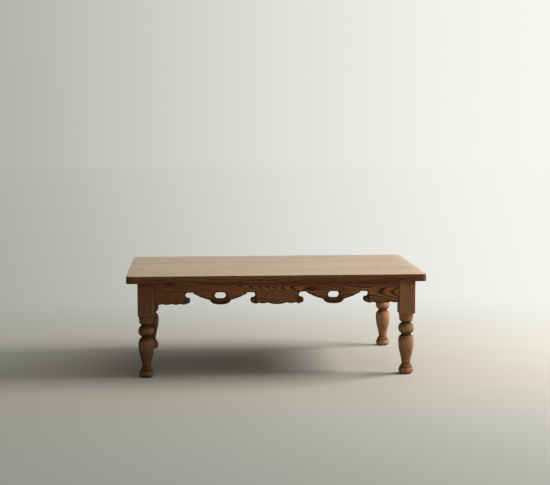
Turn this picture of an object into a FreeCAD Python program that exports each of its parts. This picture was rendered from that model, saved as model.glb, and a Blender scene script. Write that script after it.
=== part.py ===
import FreeCAD, Part
import os
from FreeCAD import Vector

os.makedirs("parts", exist_ok=True)

# Overall sizes of the table, in millimetres. The origin is on the floor, under the middle of the top.
table_length = 1120.0
table_depth = 700.0
table_height = 382.0

# Top: three boards side by side, glued along their edges over a loose tongue
top_thickness = 28.0
outer_board_width = 224.0
corner_radius = 20.0
edge_ease = 1.6
seam_ease = 0.5
tongue_thickness = 6.0
tongue_width = 24.0
tongue_end_margin = 45.0

# Legs: a square block above a turned post, all from one piece
leg_width = 60.0
block_height = 123.0
leg_arris = 1.8
end_overhang = 42.0
front_overhang = 8.0

# Aprons between the leg blocks
apron_thickness = 22.0
apron_setback = 4.0
notch_depth = 36.0
middle_nick_depth = 75.5
outer_nick_depth = 77.5
lobe_depth = 81.0
slope_foot_depth = 63.5
scallop_drop = 3.0
middle_scallop_drop = 6.5

# One fretted motif: a hanging lobe with a round bight and a hooked panel end on each side
lobe_half_width = 39.5
slope_run = 62.0
notch_flat = 18.0
bight_radius = 10.3
hook_depth = 77.0
hook_radius = 11.2
hook_shift = 3.5
oval_length = 41.5
oval_height = 24.5
oval_centre_depth = 47.5

# Mortise and tenon between apron and leg
tenon_thickness = 10.0
tenon_length = 36.0
tenon_top_shoulder = 12.0
tenon_height = 48.0
glue_gap = 0.3

# Bearers that cross under the top from the front apron to the back apron
bearer_width = 40.0
bearer_height = 26.0
bearer_tenon_length = 10.0
bearer_tenon_height = 12.0
bearer_tenon_width = 30.0

# Wooden buttons that hold the top down on the aprons
button_width = 26.0
button_reach = 32.0
button_height = 18.0
button_tongue_length = 9.0
button_tongue_height = 8.0
button_slot_slack = 3.0

# Blocks glued in the corners behind the legs
corner_block_height = 30.0
corner_block_wing = 52.0

# Wood screws with round heads
screw_diameter = 4.0
screw_tip_length = 5.0
screw_head_diameter = 8.4
screw_head_height = 2.8
screw_slot_width = 1.1
screw_slot_depth = 1.2
screw_bite = 16.0
screw_clearance = 0.15
head_well_diameter = 11.0
head_well_depth = 9.0

# One overrun serves every cut that passes a face
overrun = 2.0

# Places along the long apron, as shares of half its clear span
motif_centre_share = 0.461
bearer_share = 0.656
long_button_share = 0.328

# Places along the side apron, as a share of half its clear span
side_button_share = 0.55

# Screws through a corner block, as shares of its wing: out along the apron, and away from it
corner_screw_out_share = 0.40
corner_screw_near_share = 0.28

# Nicks of a slope, from the notch down to the lobe: share of its run, then share of its fall
slope_nick_shares = ((0.29, 0.40), (0.55, 0.68), (0.78, 0.86), (1.0, 1.0))
slope_swell_share = 0.10

# Nicks under a panel: shares of half a middle panel, and shares of an outer panel from its hook
middle_nick_shares = (0.394, 0.794)
outer_nick_shares = (0.19, 0.475, 0.75, 1.0)

# Underside of a lobe: shares of its half width and of its fall
lobe_shares = ((-1.0, 0.0), (-0.86, 0.50), (-0.50, 0.90), (0.0, 1.0), (0.50, 0.90), (0.86, 0.50), (1.0, 0.0))

# The hook's tip lies this far round the bight, as shares of the bight's radius
tip_across_share = 0.26
tip_down_share = 0.966

# Turned outline from the floor up: shares of half the leg's width and of the turned height.
# A row of two numbers ends a straight stretch, and a row of four is an arc through its first point.
turned_start_share = (0.55, 0.0)
turned_shares = (
    (0.81, 0.017, 0.927, 0.056),
    (0.885, 0.092, 0.745, 0.112),
    (0.715, 0.118),
    (0.785, 0.131, 0.69, 0.143),
    (0.58, 0.152, 0.56, 0.171),
    (0.635, 0.262, 0.81, 0.358),
    (0.94, 0.440, 0.99, 0.517),
    (0.98, 0.580, 0.925, 0.612),
    (0.86, 0.629, 0.76, 0.634),
    (0.655, 0.640),
    (0.61, 0.653, 0.655, 0.667),
    (1.0, 0.751, 0.655, 0.836),
    (0.61, 0.850, 0.69, 0.866),
    (0.83, 0.872, 0.865, 0.893),
)

# Sizes that follow from the ones above
half_length = table_length / 2
half_depth = table_depth / 2
underside = table_height - top_thickness
leg_x = half_length - end_overhang - leg_width / 2
leg_y = half_depth - front_overhang - leg_width / 2
turned_height = underside - block_height
long_half_span = leg_x - leg_width / 2
side_half_span = leg_y - leg_width / 2
apron_outer_x = leg_x + leg_width / 2 - apron_setback
apron_outer_y = leg_y + leg_width / 2 - apron_setback
apron_inner_x = apron_outer_x - apron_thickness
apron_inner_y = apron_outer_y - apron_thickness
leg_behind_apron = leg_width - apron_setback - apron_thickness
seam_y = half_depth - outer_board_width
bearer_x = long_half_span * bearer_share
long_button_x = long_half_span * long_button_share
side_button_y = side_half_span * side_button_share
motif_x = long_half_span * motif_centre_share
bight_reach = lobe_half_width + slope_run + notch_flat
hook_reach = bight_reach + hook_shift

X = Vector(1, 0, 0)
Y = Vector(0, 1, 0)
Z = Vector(0, 0, 1)
HERE = Vector(0, 0, 0)


def box(x0, x1, y0, y1, z0, z1):
    return Part.makeBox(x1 - x0, y1 - y0, z1 - z0, Vector(x0, y0, z0))


def write(name, shape):
    shape.exportStep("parts/" + name + ".step")


def stretch(points):
    # Two points make a line, three an arc, and more a smooth curve
    if len(points) == 2:
        return Part.LineSegment(*points).toShape()
    if len(points) == 3:
        return Part.Arc(*points).toShape()
    curve = Part.BSplineCurve()
    curve.interpolate(points)
    return curve.toShape()


def mirrored(rows):
    return [[(-x, z) for x, z in reversed(row)] for row in reversed(rows)]


def shifted(rows, distance):
    return [[(x + distance, z) for x, z in row] for row in rows]


def swell(start, end, drop):
    # An arc that hangs below the straight line from start to end
    middle = ((start[0] + end[0]) / 2, (start[1] + end[1]) / 2 - drop)
    return [start, middle, end]


# Fretted apron outlines, with x along the apron and z down from the underside of the top


def motif_side():
    # From the lobe's edge up the nicked slope, round the bight and over the hook to its lowest point
    fall = slope_foot_depth - notch_depth
    slope = []
    here = (bight_reach - notch_flat, -notch_depth)
    for run_share, fall_share in slope_nick_shares:
        there = (lobe_half_width + slope_run * (1 - run_share), -notch_depth - fall * fall_share)
        drop = slope_run * slope_swell_share * (there[1] - here[1]) / -fall
        slope.append([there, ((here[0] + there[0]) / 2, (here[1] + there[1]) / 2 - drop), here])
        here = there
    slope.reverse()
    bight_z = -notch_depth - bight_radius
    tip = (bight_reach - bight_radius * tip_across_share, bight_z - bight_radius * tip_down_share)
    hook_low = (hook_reach, -hook_depth)
    hook_side = (hook_reach - hook_radius, hook_low[1] + hook_radius)
    flat = [(bight_reach - notch_flat, -notch_depth), (bight_reach, -notch_depth)]
    bight = [(bight_reach, -notch_depth), (bight_reach + bight_radius, bight_z), tip]
    hook = [tip, hook_side, hook_low]
    return slope + [flat, bight, hook]


def motif():
    fall = lobe_depth - slope_foot_depth
    lobe = [(x * lobe_half_width, -slope_foot_depth - z * fall) for x, z in lobe_shares]
    side = motif_side()
    return mirrored(side) + [lobe] + side


def outer_panel(start_x, end_x):
    # Scallops from the hook's lowest point to the leg
    here = (start_x, -hook_depth)
    rows = []
    for share in outer_nick_shares:
        there = (start_x + (end_x - start_x) * share, -outer_nick_depth)
        rows.append(swell(here, there, scallop_drop))
        here = there
    return rows


def middle_panel(half_width):
    # Scallops between two hooks, with a deeper one in the middle
    start = (half_width, -hook_depth)
    nicks = [(half_width * share, -middle_nick_depth) for share in middle_nick_shares]
    side = [swell(nicks[0], nicks[1], scallop_drop), swell(nicks[1], start, scallop_drop)]
    centre = swell((-nicks[0][0], -middle_nick_depth), nicks[0], middle_scallop_drop)
    return mirrored(side) + [centre] + side


def fret_face(half_span, lower_edge):
    end = [lower_edge[-1][-1], (half_span, 0)]
    top = [(half_span, 0), (-half_span, 0)]
    start = [(-half_span, 0), lower_edge[0][0]]
    rows = lower_edge + [end, top, start]
    edges = [stretch([Vector(x, 0, z) for x, z in row]) for row in rows]
    return Part.Face(Part.Wire(edges))


def oval_hole(centre_x):
    # A slot with round ends, right through the apron
    radius = oval_height / 2
    half_straight = oval_length / 2 - radius
    low = -oval_centre_depth - radius
    high = -oval_centre_depth + radius
    rows = (
        [(-half_straight, low), (half_straight, low)],
        [(half_straight, low), (half_straight + radius, -oval_centre_depth), (half_straight, high)],
        [(half_straight, high), (-half_straight, high)],
        [(-half_straight, high), (-half_straight - radius, -oval_centre_depth), (-half_straight, low)],
    )
    edges = [stretch([Vector(centre_x + x, -overrun, z) for x, z in row]) for row in rows]
    return Part.Face(Part.Wire(edges)).extrude(Y * (apron_thickness + 2 * overrun))


def tenon(side, half_span, length):
    low = -tenon_top_shoulder - tenon_height
    near = (apron_thickness - tenon_thickness) / 2
    ends = sorted((side * (half_span - overrun), side * (half_span + length)))
    return box(ends[0], ends[1], near, near + tenon_thickness, low, -tenon_top_shoulder)


def button_slot(centre_x):
    low = -button_height - glue_gap
    half_width = button_width / 2 + button_slot_slack
    depth = button_tongue_length + glue_gap
    return box(centre_x - half_width, centre_x + half_width, apron_thickness - depth,
               apron_thickness + overrun, low, -button_height + button_tongue_height)


def bearer_mortise(centre_x):
    half_width = bearer_tenon_width / 2
    depth = bearer_tenon_length + glue_gap
    middle = -bearer_height / 2
    return box(centre_x - half_width, centre_x + half_width, apron_thickness - depth,
               apron_thickness + overrun, middle - bearer_tenon_height / 2, middle + bearer_tenon_height / 2)


def apron(half_span, lower_edge, oval_places, button_places, bearer_places):
    # Outer face on y = 0, inner face on y = thickness, top edge on z = 0
    body = fret_face(half_span, lower_edge).extrude(Y * apron_thickness)
    for side in (-1, 1):
        body = body.fuse(tenon(side, half_span, tenon_length))
    for place in oval_places:
        body = body.cut(oval_hole(place))
    for place in button_places:
        body = body.cut(button_slot(place))
    for place in bearer_places:
        body = body.cut(bearer_mortise(place))
    return body.removeSplitter()


def long_apron():
    middle = middle_panel(motif_x - hook_reach)
    outer = outer_panel(motif_x + hook_reach, long_half_span)
    right = shifted(motif(), motif_x)
    left = shifted(motif(), -motif_x)
    lower_edge = mirrored(outer) + left + middle + right + outer
    return apron(long_half_span, lower_edge, (-motif_x, motif_x), (-long_button_x, long_button_x),
                 (-bearer_x, 0, bearer_x))


def side_apron():
    outer = outer_panel(hook_reach, side_half_span)
    lower_edge = mirrored(outer) + motif() + outer
    return apron(side_half_span, lower_edge, (0,), (-side_button_y, side_button_y), ())


def write_aprons():
    front = long_apron()
    front.translate(Vector(0, -apron_outer_y, underside))
    write("apron_front", front)
    write("apron_back", front.mirror(HERE, Y))
    left = side_apron()
    left.rotate(HERE, Z, -90)
    left.translate(Vector(-apron_outer_x, 0, underside))
    write("apron_left", left)
    write("apron_right", left.mirror(HERE, X))


# Legs


def turned_post():
    radius = leg_width / 2
    here = Vector(radius * turned_start_share[0], 0, turned_height * turned_start_share[1])
    edges = [Part.LineSegment(HERE, here).toShape()]
    for row in turned_shares:
        pairs = [row[index:index + 2] for index in range(0, len(row), 2)]
        points = [Vector(radius * across, 0, turned_height * up) for across, up in pairs]
        edges.append(stretch([here] + points))
        here = points[-1]
    head = Vector(here.x, 0, turned_height + overrun)
    axis_top = Vector(0, 0, turned_height + overrun)
    edges.append(Part.LineSegment(here, head).toShape())
    edges.append(Part.LineSegment(head, axis_top).toShape())
    edges.append(Part.LineSegment(axis_top, HERE).toShape())
    return Part.Face(Part.Wire(edges)).revolve(HERE, Z, 360)


def leg_block():
    half = leg_width / 2
    block = box(-half, half, -half, half, turned_height, underside)
    upright = [edge for edge in block.Edges if abs(edge.tangentAt(edge.FirstParameter).z) > 0.5]
    return block.makeChamfer(leg_arris, upright)


def leg_mortise():
    # For the apron that arrives at the inner face across x, seen on the leg at the back right
    half = leg_width / 2
    far = half - apron_setback - (apron_thickness - tenon_thickness) / 2
    high = underside - tenon_top_shoulder
    return box(-half - overrun, -half + tenon_length + glue_gap, far - tenon_thickness, far,
               high - tenon_height, high)


def write_legs():
    mortise = leg_mortise()
    other_mortise = mortise.mirror(HERE, X - Y)
    leg = turned_post().fuse(leg_block()).cut(mortise).cut(other_mortise).removeSplitter()
    leg.translate(Vector(leg_x, leg_y, 0))
    front = leg.mirror(HERE, Y)
    write("leg_back_right", leg)
    write("leg_back_left", leg.mirror(HERE, X))
    write("leg_front_right", front)
    write("leg_front_left", front.mirror(HERE, X))


# Top boards and the tongues between them


def board_outline(y0, y1, round_far_corners):
    # A board seen from above, with its far corners rounded where it is an outer board
    radius = corner_radius if round_far_corners else 0
    corner = radius * (1 - 0.5 ** 0.5)
    points = [[(-half_length, y0), (half_length, y0)], [(half_length, y0), (half_length, y1 - radius)]]
    if radius:
        points.append([(half_length, y1 - radius), (half_length - corner, y1 - corner), (half_length - radius, y1)])
    points.append([(half_length - radius, y1), (radius - half_length, y1)])
    if radius:
        points.append([(radius - half_length, y1), (corner - half_length, y1 - corner), (-half_length, y1 - radius)])
    points.append([(-half_length, y1 - radius), (-half_length, y0)])
    edges = [stretch([Vector(x, y, underside) for x, y in row]) for row in points]
    return Part.Face(Part.Wire(edges))


def tongue_space(seam, slack):
    half = tongue_width / 2 + slack
    middle = table_height - top_thickness / 2
    reach = half_length - tongue_end_margin + slack
    return box(-reach, reach, seam - half, seam + half, middle - tongue_thickness / 2, middle + tongue_thickness / 2)


def lies_on_seam(edge, seams):
    bounds = edge.BoundBox
    return any(max(abs(bounds.YMin - seam), abs(bounds.YMax - seam)) < seam_ease / 2 for seam in seams)


def eased(board, seams):
    # The outer arrises are rounded over, and the top ones along a seam are only just broken
    level = [edge for edge in board.Edges if edge.BoundBox.ZLength < edge_ease / 2]
    outside = [edge for edge in level if not lies_on_seam(edge, seams)]
    board = board.makeFillet(edge_ease, outside)
    tops = [edge for edge in board.Edges if lies_on_seam(edge, seams)
            and edge.BoundBox.ZMin > table_height - seam_ease]
    return board.makeChamfer(seam_ease, tops)


def outer_board():
    board = board_outline(seam_y, half_depth, True).extrude(Z * top_thickness)
    return eased(board, (seam_y,)).cut(tongue_space(seam_y, glue_gap))


def middle_board():
    board = board_outline(-seam_y, seam_y, False).extrude(Z * top_thickness)
    board = eased(board, (-seam_y, seam_y))
    return board.cut(tongue_space(seam_y, glue_gap)).cut(tongue_space(-seam_y, glue_gap))


# Fasteners, and the holes they need


def screw(x, y, seat, bite_end):
    # The head's flat face is on the seat, and the shank runs up from it
    shank_top = bite_end - screw_tip_length
    place = Vector(x, y, seat)
    shank = Part.makeCylinder(screw_diameter / 2, shank_top - seat, place)
    tip = Part.makeCone(screw_diameter / 2, 0, screw_tip_length, Vector(x, y, shank_top))
    head_radius = screw_head_diameter / 2
    ball_radius = (head_radius ** 2 + screw_head_height ** 2) / (2 * screw_head_height)
    centre_z = seat - screw_head_height + ball_radius
    head = Part.makeSphere(ball_radius, Vector(x, y, centre_z))
    keep = box(x - head_radius, x + head_radius, y - head_radius, y + head_radius, seat - screw_head_height, seat)
    slot = box(x - head_radius, x + head_radius, y - screw_slot_width / 2, y + screw_slot_width / 2,
               seat - screw_head_height, seat - screw_head_height + screw_slot_depth)
    head = head.common(keep).cut(slot)
    return shank.fuse(tip).fuse(head).removeSplitter()


def screw_hole(x, y, low, high):
    return Part.makeCylinder(screw_diameter / 2 + screw_clearance, high - low, Vector(x, y, low))


def button_screw_places():
    inward_x = apron_inner_x - button_reach / 2
    inward_y = apron_inner_y - button_reach / 2
    places = [(side * long_button_x, end * inward_y) for end in (-1, 1) for side in (-1, 1)]
    return places + [(side * inward_x, end * side_button_y) for side in (-1, 1) for end in (-1, 1)]


def bearer_screw_places():
    board_middle = (seam_y + half_depth) / 2
    return [(across * bearer_x, along * board_middle) for across in (-1, 0, 1) for along in (-1, 0, 1)]


def corner_screw_places():
    out = leg_behind_apron + corner_block_wing * corner_screw_out_share
    near = corner_block_wing * corner_screw_near_share
    places = []
    for x_side in (-1, 1):
        for y_side in (-1, 1):
            places.append((x_side * (apron_inner_x - out), y_side * (apron_inner_y - near)))
            places.append((x_side * (apron_inner_x - near), y_side * (apron_inner_y - out)))
    return places


def screw_kinds():
    # Node name, places and the height of the face that each head presses on
    return (
        ("button_screws", button_screw_places(), underside - button_height),
        ("bearer_screws", bearer_screw_places(), underside - bearer_height + head_well_depth),
        ("corner_block_screws", corner_screw_places(), underside - corner_block_height + head_well_depth),
    )


def write_screws():
    for name, places, seat in screw_kinds():
        write(name, Part.makeCompound([screw(x, y, seat, underside + screw_bite) for x, y in places]))


def write_top():
    holes = [screw_hole(x, y, underside - overrun, underside + screw_bite + glue_gap)
             for _, places, _ in screw_kinds() for x, y in places]
    back = outer_board()
    front = back.mirror(HERE, Y)
    write("top_board_back", back.cut(holes))
    write("top_board_front", front.cut(holes))
    write("top_board_middle", middle_board().cut(holes))
    write("top_tongue_back", tongue_space(seam_y, 0))
    write("top_tongue_front", tongue_space(-seam_y, 0))


# Bearers, buttons and corner blocks under the top


def bearer(place_x):
    half = bearer_width / 2
    low = underside - bearer_height
    body = box(place_x - half, place_x + half, -apron_inner_y, apron_inner_y, low, underside)
    reach = apron_inner_y + bearer_tenon_length
    middle = underside - bearer_height / 2
    half_tenon = bearer_tenon_width / 2
    body = body.fuse(box(place_x - half_tenon, place_x + half_tenon, -reach, reach,
                         middle - bearer_tenon_height / 2, middle + bearer_tenon_height / 2))
    for x, y in bearer_screw_places():
        if x != place_x:
            continue
        well = Part.makeCylinder(head_well_diameter / 2, head_well_depth + overrun, Vector(x, y, low - overrun))
        body = body.cut(screw_hole(x, y, low, underside + overrun)).cut(well)
    return body.removeSplitter()


def write_bearers():
    for name, across in (("left", -1), ("middle", 0), ("right", 1)):
        write("bearer_" + name, bearer(across * bearer_x))


def button():
    # The apron's inner face is on y = 0, and the tongue reaches back into its slot
    half = button_width / 2
    body = box(-half, half, 0, button_reach, -button_height, 0)
    tongue = box(-half, half, -button_tongue_length, overrun, -button_height, -button_height + button_tongue_height)
    body = body.fuse(tongue)
    bevel = button_height - button_tongue_height
    nose = Part.Face(Part.makePolygon([Vector(-half, button_reach, -button_height),
                                       Vector(-half, button_reach, -button_height + bevel),
                                       Vector(-half, button_reach - bevel, -button_height),
                                       Vector(-half, button_reach, -button_height)]))
    body = body.cut(nose.extrude(X * button_width))
    return body.cut(screw_hole(0, button_reach / 2, -button_height - overrun, overrun)).removeSplitter()


def write_buttons():
    places = [
        ("front_left", -long_button_x, -apron_inner_y, 0),
        ("front_right", long_button_x, -apron_inner_y, 0),
        ("back_left", -long_button_x, apron_inner_y, 180),
        ("back_right", long_button_x, apron_inner_y, 180),
        ("left_front", -apron_inner_x, -side_button_y, -90),
        ("left_back", -apron_inner_x, side_button_y, -90),
        ("right_front", apron_inner_x, -side_button_y, 90),
        ("right_back", apron_inner_x, side_button_y, 90),
    ]
    for name, x, y, turn in places:
        piece = button()
        piece.rotate(HERE, Z, turn)
        piece.translate(Vector(x, y, underside))
        write("button_" + name, piece)


def corner_block():
    # The back right corner: the block fills between both aprons and the leg, cut off across the corner
    near = leg_behind_apron
    reach = near + corner_block_wing
    low = underside - corner_block_height
    points = ((near, 0), (reach, 0), (0, reach), (0, near), (near, near), (near, 0))
    wire = Part.makePolygon([Vector(apron_inner_x - x, apron_inner_y - y, low) for x, y in points])
    body = Part.Face(wire).extrude(Z * corner_block_height)
    for x, y in corner_screw_places():
        well = Part.makeCylinder(head_well_diameter / 2, head_well_depth + overrun, Vector(x, y, low - overrun))
        body = body.cut(screw_hole(x, y, low, underside + overrun)).cut(well)
    return body


def write_corner_blocks():
    block = corner_block()
    front = block.mirror(HERE, Y)
    write("corner_block_back_right", block)
    write("corner_block_back_left", block.mirror(HERE, X))
    write("corner_block_front_right", front)
    write("corner_block_front_left", front.mirror(HERE, X))


write_top()
write_legs()
write_aprons()
write_bearers()
write_buttons()
write_corner_blocks()
write_screws()
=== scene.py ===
# %% [markdown]
# # Dressing a low table with turned legs and fretted aprons
# The construction model of the table is finished and stays fixed: three top boards on four legs, with a
# fretted apron between each pair of legs, and bearers, buttons, corner blocks and screws under the top.
# This lesson gives it its looks. The boards, legs and aprons are modelled again with the softness, carving
# and small faults of handwork. The pieces inside keep their shape and get a better finish.
# Everything is in metres, with the origin on the floor under the middle of the top. The front faces -Y.

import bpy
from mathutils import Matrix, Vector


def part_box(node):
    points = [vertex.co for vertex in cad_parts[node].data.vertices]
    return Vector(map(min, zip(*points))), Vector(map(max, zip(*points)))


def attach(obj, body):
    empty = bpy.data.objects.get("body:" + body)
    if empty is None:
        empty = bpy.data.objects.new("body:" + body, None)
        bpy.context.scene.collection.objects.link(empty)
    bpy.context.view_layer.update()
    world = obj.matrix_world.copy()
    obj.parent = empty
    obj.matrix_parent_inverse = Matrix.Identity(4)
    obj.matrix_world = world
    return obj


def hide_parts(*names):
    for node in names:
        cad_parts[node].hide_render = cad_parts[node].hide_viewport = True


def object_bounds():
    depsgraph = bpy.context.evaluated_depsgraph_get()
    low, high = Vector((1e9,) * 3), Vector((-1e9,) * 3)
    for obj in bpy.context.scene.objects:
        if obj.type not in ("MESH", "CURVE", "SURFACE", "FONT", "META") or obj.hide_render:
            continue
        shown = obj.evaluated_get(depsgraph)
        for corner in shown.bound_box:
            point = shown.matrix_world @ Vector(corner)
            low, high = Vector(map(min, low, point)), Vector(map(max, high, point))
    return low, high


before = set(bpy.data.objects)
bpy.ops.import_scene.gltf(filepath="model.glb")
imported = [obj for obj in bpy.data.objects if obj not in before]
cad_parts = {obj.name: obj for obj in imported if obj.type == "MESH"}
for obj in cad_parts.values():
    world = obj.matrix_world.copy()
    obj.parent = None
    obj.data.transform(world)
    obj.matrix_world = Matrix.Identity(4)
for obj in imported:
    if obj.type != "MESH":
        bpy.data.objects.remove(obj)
cad_low, cad_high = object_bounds()
print("construction box", [round(value, 4) for value in cad_high - cad_low])

# %% Modules and shared names
import math

import bmesh
import bpy
import numpy
from mathutils import Euler, Matrix, Vector

MM = 0.001
scene = bpy.context.scene
print("pieces in the construction model", len(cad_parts))

# %% [markdown]
# ## The camera
# The table was photographed from about five metres, a little left of its middle, with a long lens whose
# axis dips by five and a half degrees. A long lens keeps the far legs almost as large as the near ones.
# The place and the turns are set from the corners of the top and the feet.

# %% Camera
camera_place = Vector((-0.3001, -5.221, 0.9729))
camera_dip = 0.09578
camera_turn = -0.0598
camera_roll = -0.0027


def new_object(name, data):
    made = bpy.data.objects.new(name, data)
    scene.collection.objects.link(made)
    return made


camera_data = bpy.data.cameras.new("camera")
camera_data.lens = 86.8
camera_data.sensor_width = 36.0
camera = new_object("camera", camera_data)
turn = Matrix.Rotation(camera_turn, 4, "Z")
dip = Matrix.Rotation(math.pi / 2 - camera_dip, 4, "X")
roll = Matrix.Rotation(camera_roll, 4, "Z")
camera.matrix_world = Matrix.Translation(camera_place) @ turn @ dip @ roll
scene.camera = camera
scene.view_settings.view_transform = "Standard"
print("camera looks along", [round(value, 3) for value in turn @ dip @ roll @ Vector((0, 0, -1))])

# %% [markdown]
# ## Helpers for shader nodes
# A procedural finish is a chain of small nodes, and these helpers keep the chain readable. One feeds a socket
# with a plain value or another node's output, one adds a node and feeds its sockets, and the rest add a
# common node each: a sum, a sum of vectors, a mix of two colours, a soft step, and the parts of a vector.

# %% Helpers for shader nodes


def feed(tree, socket, source):
    # Links another node's output, or sets a plain value
    if isinstance(source, bpy.types.NodeSocket):
        tree.links.new(source, socket)
    else:
        socket.default_value = source


def add_node(tree, kind, sockets=None, **settings):
    made = tree.nodes.new(kind)
    for name, value in settings.items():
        setattr(made, name, value)
    for name, source in (sockets or {}).items():
        feed(tree, made.inputs[name], source)
    return made


def calc(tree, operation, *sources):
    return add_node(tree, "ShaderNodeMath", dict(enumerate(sources)), operation=operation).outputs[0]


def vector_calc(tree, operation, *sources, output=0):
    made = add_node(tree, "ShaderNodeVectorMath", dict(enumerate(sources)), operation=operation)
    return made.outputs[output]


def blend(tree, factor, one, two, kind="MIX"):
    sockets = {"Factor": factor, "A": one, "B": two}
    return add_node(tree, "ShaderNodeMix", sockets, data_type="RGBA", blend_type=kind).outputs["Result"]


def slope(tree, value, low, high, to_low=0.0, to_high=1.0, kind="SMOOTHSTEP"):
    sockets = {"Value": value, "From Min": low, "From Max": high, "To Min": to_low, "To Max": to_high}
    return add_node(tree, "ShaderNodeMapRange", sockets, interpolation_type=kind).outputs["Result"]


def parts_of(tree, vector):
    return add_node(tree, "ShaderNodeSeparateXYZ", {0: vector}).outputs


def own_place(tree, space="Object"):
    return add_node(tree, "ShaderNodeTexCoord").outputs[space]


def empty_tree(owner):
    owner.use_nodes = True
    owner.node_tree.nodes.clear()
    return owner.node_tree


# %% [markdown]
# ## Light, floor and backdrop
# A large soft lamp stands to the right, low like a window, and sends the shadow to the left. The rest of
# the room only fills in. The world has two jobs, which the Light Path node keeps apart: rays that the
# camera, a gloss or a glass sends out see a pale wall that brightens towards the window, and all other rays
# collect the same wall much dimmer, as the light of a room, and dimmest on the side away from the window.

# %% World
wall_far = (0.36, 0.36, 0.325, 1)
wall_near = (0.93, 0.94, 0.90, 1)
wall_turn = (-0.30, 0.30)
room_turn = (-0.6, 0.6)
room_strength = (0.20, 0.66)

world = bpy.data.worlds.new("room")
scene.world = world
tree = empty_tree(world)


def wall_colour(tree, sideways):
    # The wall is brightest on the window's side, where the heading has a large share of X
    return blend(tree, slope(tree, sideways, *wall_turn), wall_far, wall_near)


def seen_directly(tree):
    # One for camera, glossy and transmitted rays, and zero for the rays that carry light
    path = add_node(tree, "ShaderNodeLightPath").outputs
    either = calc(tree, "MAXIMUM", path["Is Camera Ray"], path["Is Glossy Ray"])
    return calc(tree, "MAXIMUM", either, path["Is Transmission Ray"])


sideways = parts_of(tree, own_place(tree, "Generated"))["X"]
dim = slope(tree, sideways, *room_turn, *room_strength, "LINEAR")
room = add_node(tree, "ShaderNodeBackground", {
    "Color": wall_colour(tree, sideways),
    "Strength": calc(tree, "MAXIMUM", seen_directly(tree), dim),
})
add_node(tree, "ShaderNodeOutputWorld", {0: room.outputs[0]})
print("room light from", room_strength[0], "to", room_strength[1])

# %% Window lamp
window_place = Vector((3.1, 0.12, 2.25))
window_aim = Vector((0.0, 0.0, 0.15))

lamp_data = bpy.data.lights.new("window", "AREA")
lamp_data.shape = "RECTANGLE"
lamp_data.size = 2.0
lamp_data.size_y = 1.2
lamp_data.energy = 180.0
lamp_data.color = (1.0, 0.975, 0.94)
lamp = new_object("window", lamp_data)
aim = (window_aim - window_place).to_track_quat("-Z", "Y")
lamp.matrix_world = Matrix.Translation(window_place) @ aim.to_matrix().to_4x4()
print("window lamp", round((window_place - window_aim).length, 2), "metres from the table")

# %% [markdown]
# The floor is a plane, as plain as a studio floor. Near the table it is a matt surface that takes the
# shadow, a little warmer under and behind the table than in front of it. Further out it turns into the
# colour of the wall behind it, so that no edge shows from any side. That colour glows for the camera from
# close behind the table, so it is also painted light: it brightens the floor towards the back and the window,
# and lightens the table's shadow a little.

# %% Floor
floor_size = 40.0
floor_cool = (0.455, 0.468, 0.445, 1)
floor_warm = (0.485, 0.462, 0.395, 1)
warm_between = (-1.5, -0.4)
warm_share = 0.75
cloud_share = 0.25

bpy.ops.object.select_all(action="DESELECT")
bpy.ops.mesh.primitive_plane_add(size=floor_size, location=(0, 0, 0))
floor = bpy.context.active_object
floor.name = "floor"
floor_material = bpy.data.materials.new("floor")
tree = empty_tree(floor_material)
place = own_place(tree)
sides = parts_of(tree, place)
cloud = add_node(tree, "ShaderNodeTexNoise", {"Vector": place, "Scale": 1.3, "Detail": 5.0})
warmth = slope(tree, sides["Y"], *warm_between, 0.0, warm_share)
warmth = calc(tree, "MULTIPLY_ADD", cloud.outputs["Fac"], cloud_share, warmth)
matt = add_node(tree, "ShaderNodeBsdfPrincipled", {
    "Base Color": blend(tree, warmth, floor_cool, floor_warm),
    "Roughness": 0.75,
    "Specular IOR Level": 0.2,
})
print("floor", floor_size, "metres wide, and a little warmer from", warm_between[0], "metres backwards")

# %% [markdown]
# The wall's colour depends on a heading, and a place on the floor stands for the heading in which somebody
# well back from the table sees it. Taking the distance to the back and to the front alike keeps it smooth.

# %% The floor turns into the wall
glow_centre = (0.0, -1.3, 0.0)
glow_between = (1.2, 3.4)
standing_back = 5.2

away = vector_calc(tree, "DISTANCE", place, glow_centre, output="Value")
glow_share = calc(tree, "MULTIPLY", slope(tree, away, *glow_between), seen_directly(tree))
onward = calc(tree, "ADD", calc(tree, "ABSOLUTE", sides["Y"]), standing_back)
flat = add_node(tree, "ShaderNodeCombineXYZ", {"X": sides["X"], "Y": onward}).outputs[0]
sideways = parts_of(tree, vector_calc(tree, "NORMALIZE", flat))["X"]
# Painted light: the wall's colour glows on the floor, seen directly, from just behind the table outwards
wall_glow_and_painted_light = add_node(tree, "ShaderNodeEmission", {"Color": wall_colour(tree, sideways)})
joined = add_node(tree, "ShaderNodeMixShader", {0: glow_share, 1: matt.outputs[0], 2: wall_glow_and_painted_light.outputs[0]})
add_node(tree, "ShaderNodeOutputMaterial", {0: joined.outputs[0]})
floor.data.materials.append(floor_material)
print("floor fades from", glow_between[0], "to", glow_between[1], "metres")

# %% [markdown]
# ## Helpers for modelling
# Every new piece is shaped with the same tools as by hand: a primitive is added, faces or edges are picked
# by where they are and which way they look, and an edit-mode tool works on the pick. A tool acts on
# everything that is selected, so the helper that picks always lets go of everything else first.

# %% Helpers for modelling
# A face looks squarely in a direction when the cosine of the angle between them is over this
squarely = 0.99
near = 0.05 * MM


def leave_edit():
    if bpy.context.object and bpy.context.object.mode != "OBJECT":
        bpy.ops.object.mode_set(mode="OBJECT")


def start_alone():
    # Leave edit mode and let go of every object
    leave_edit()
    bpy.ops.object.select_all(action="DESELECT")


def work_on(piece):
    start_alone()
    piece.select_set(True)
    bpy.context.view_layer.objects.active = piece


def edit_all(piece):
    work_on(piece)
    bpy.ops.object.mode_set(mode="EDIT")
    bpy.ops.mesh.select_all(action="SELECT")


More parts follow.
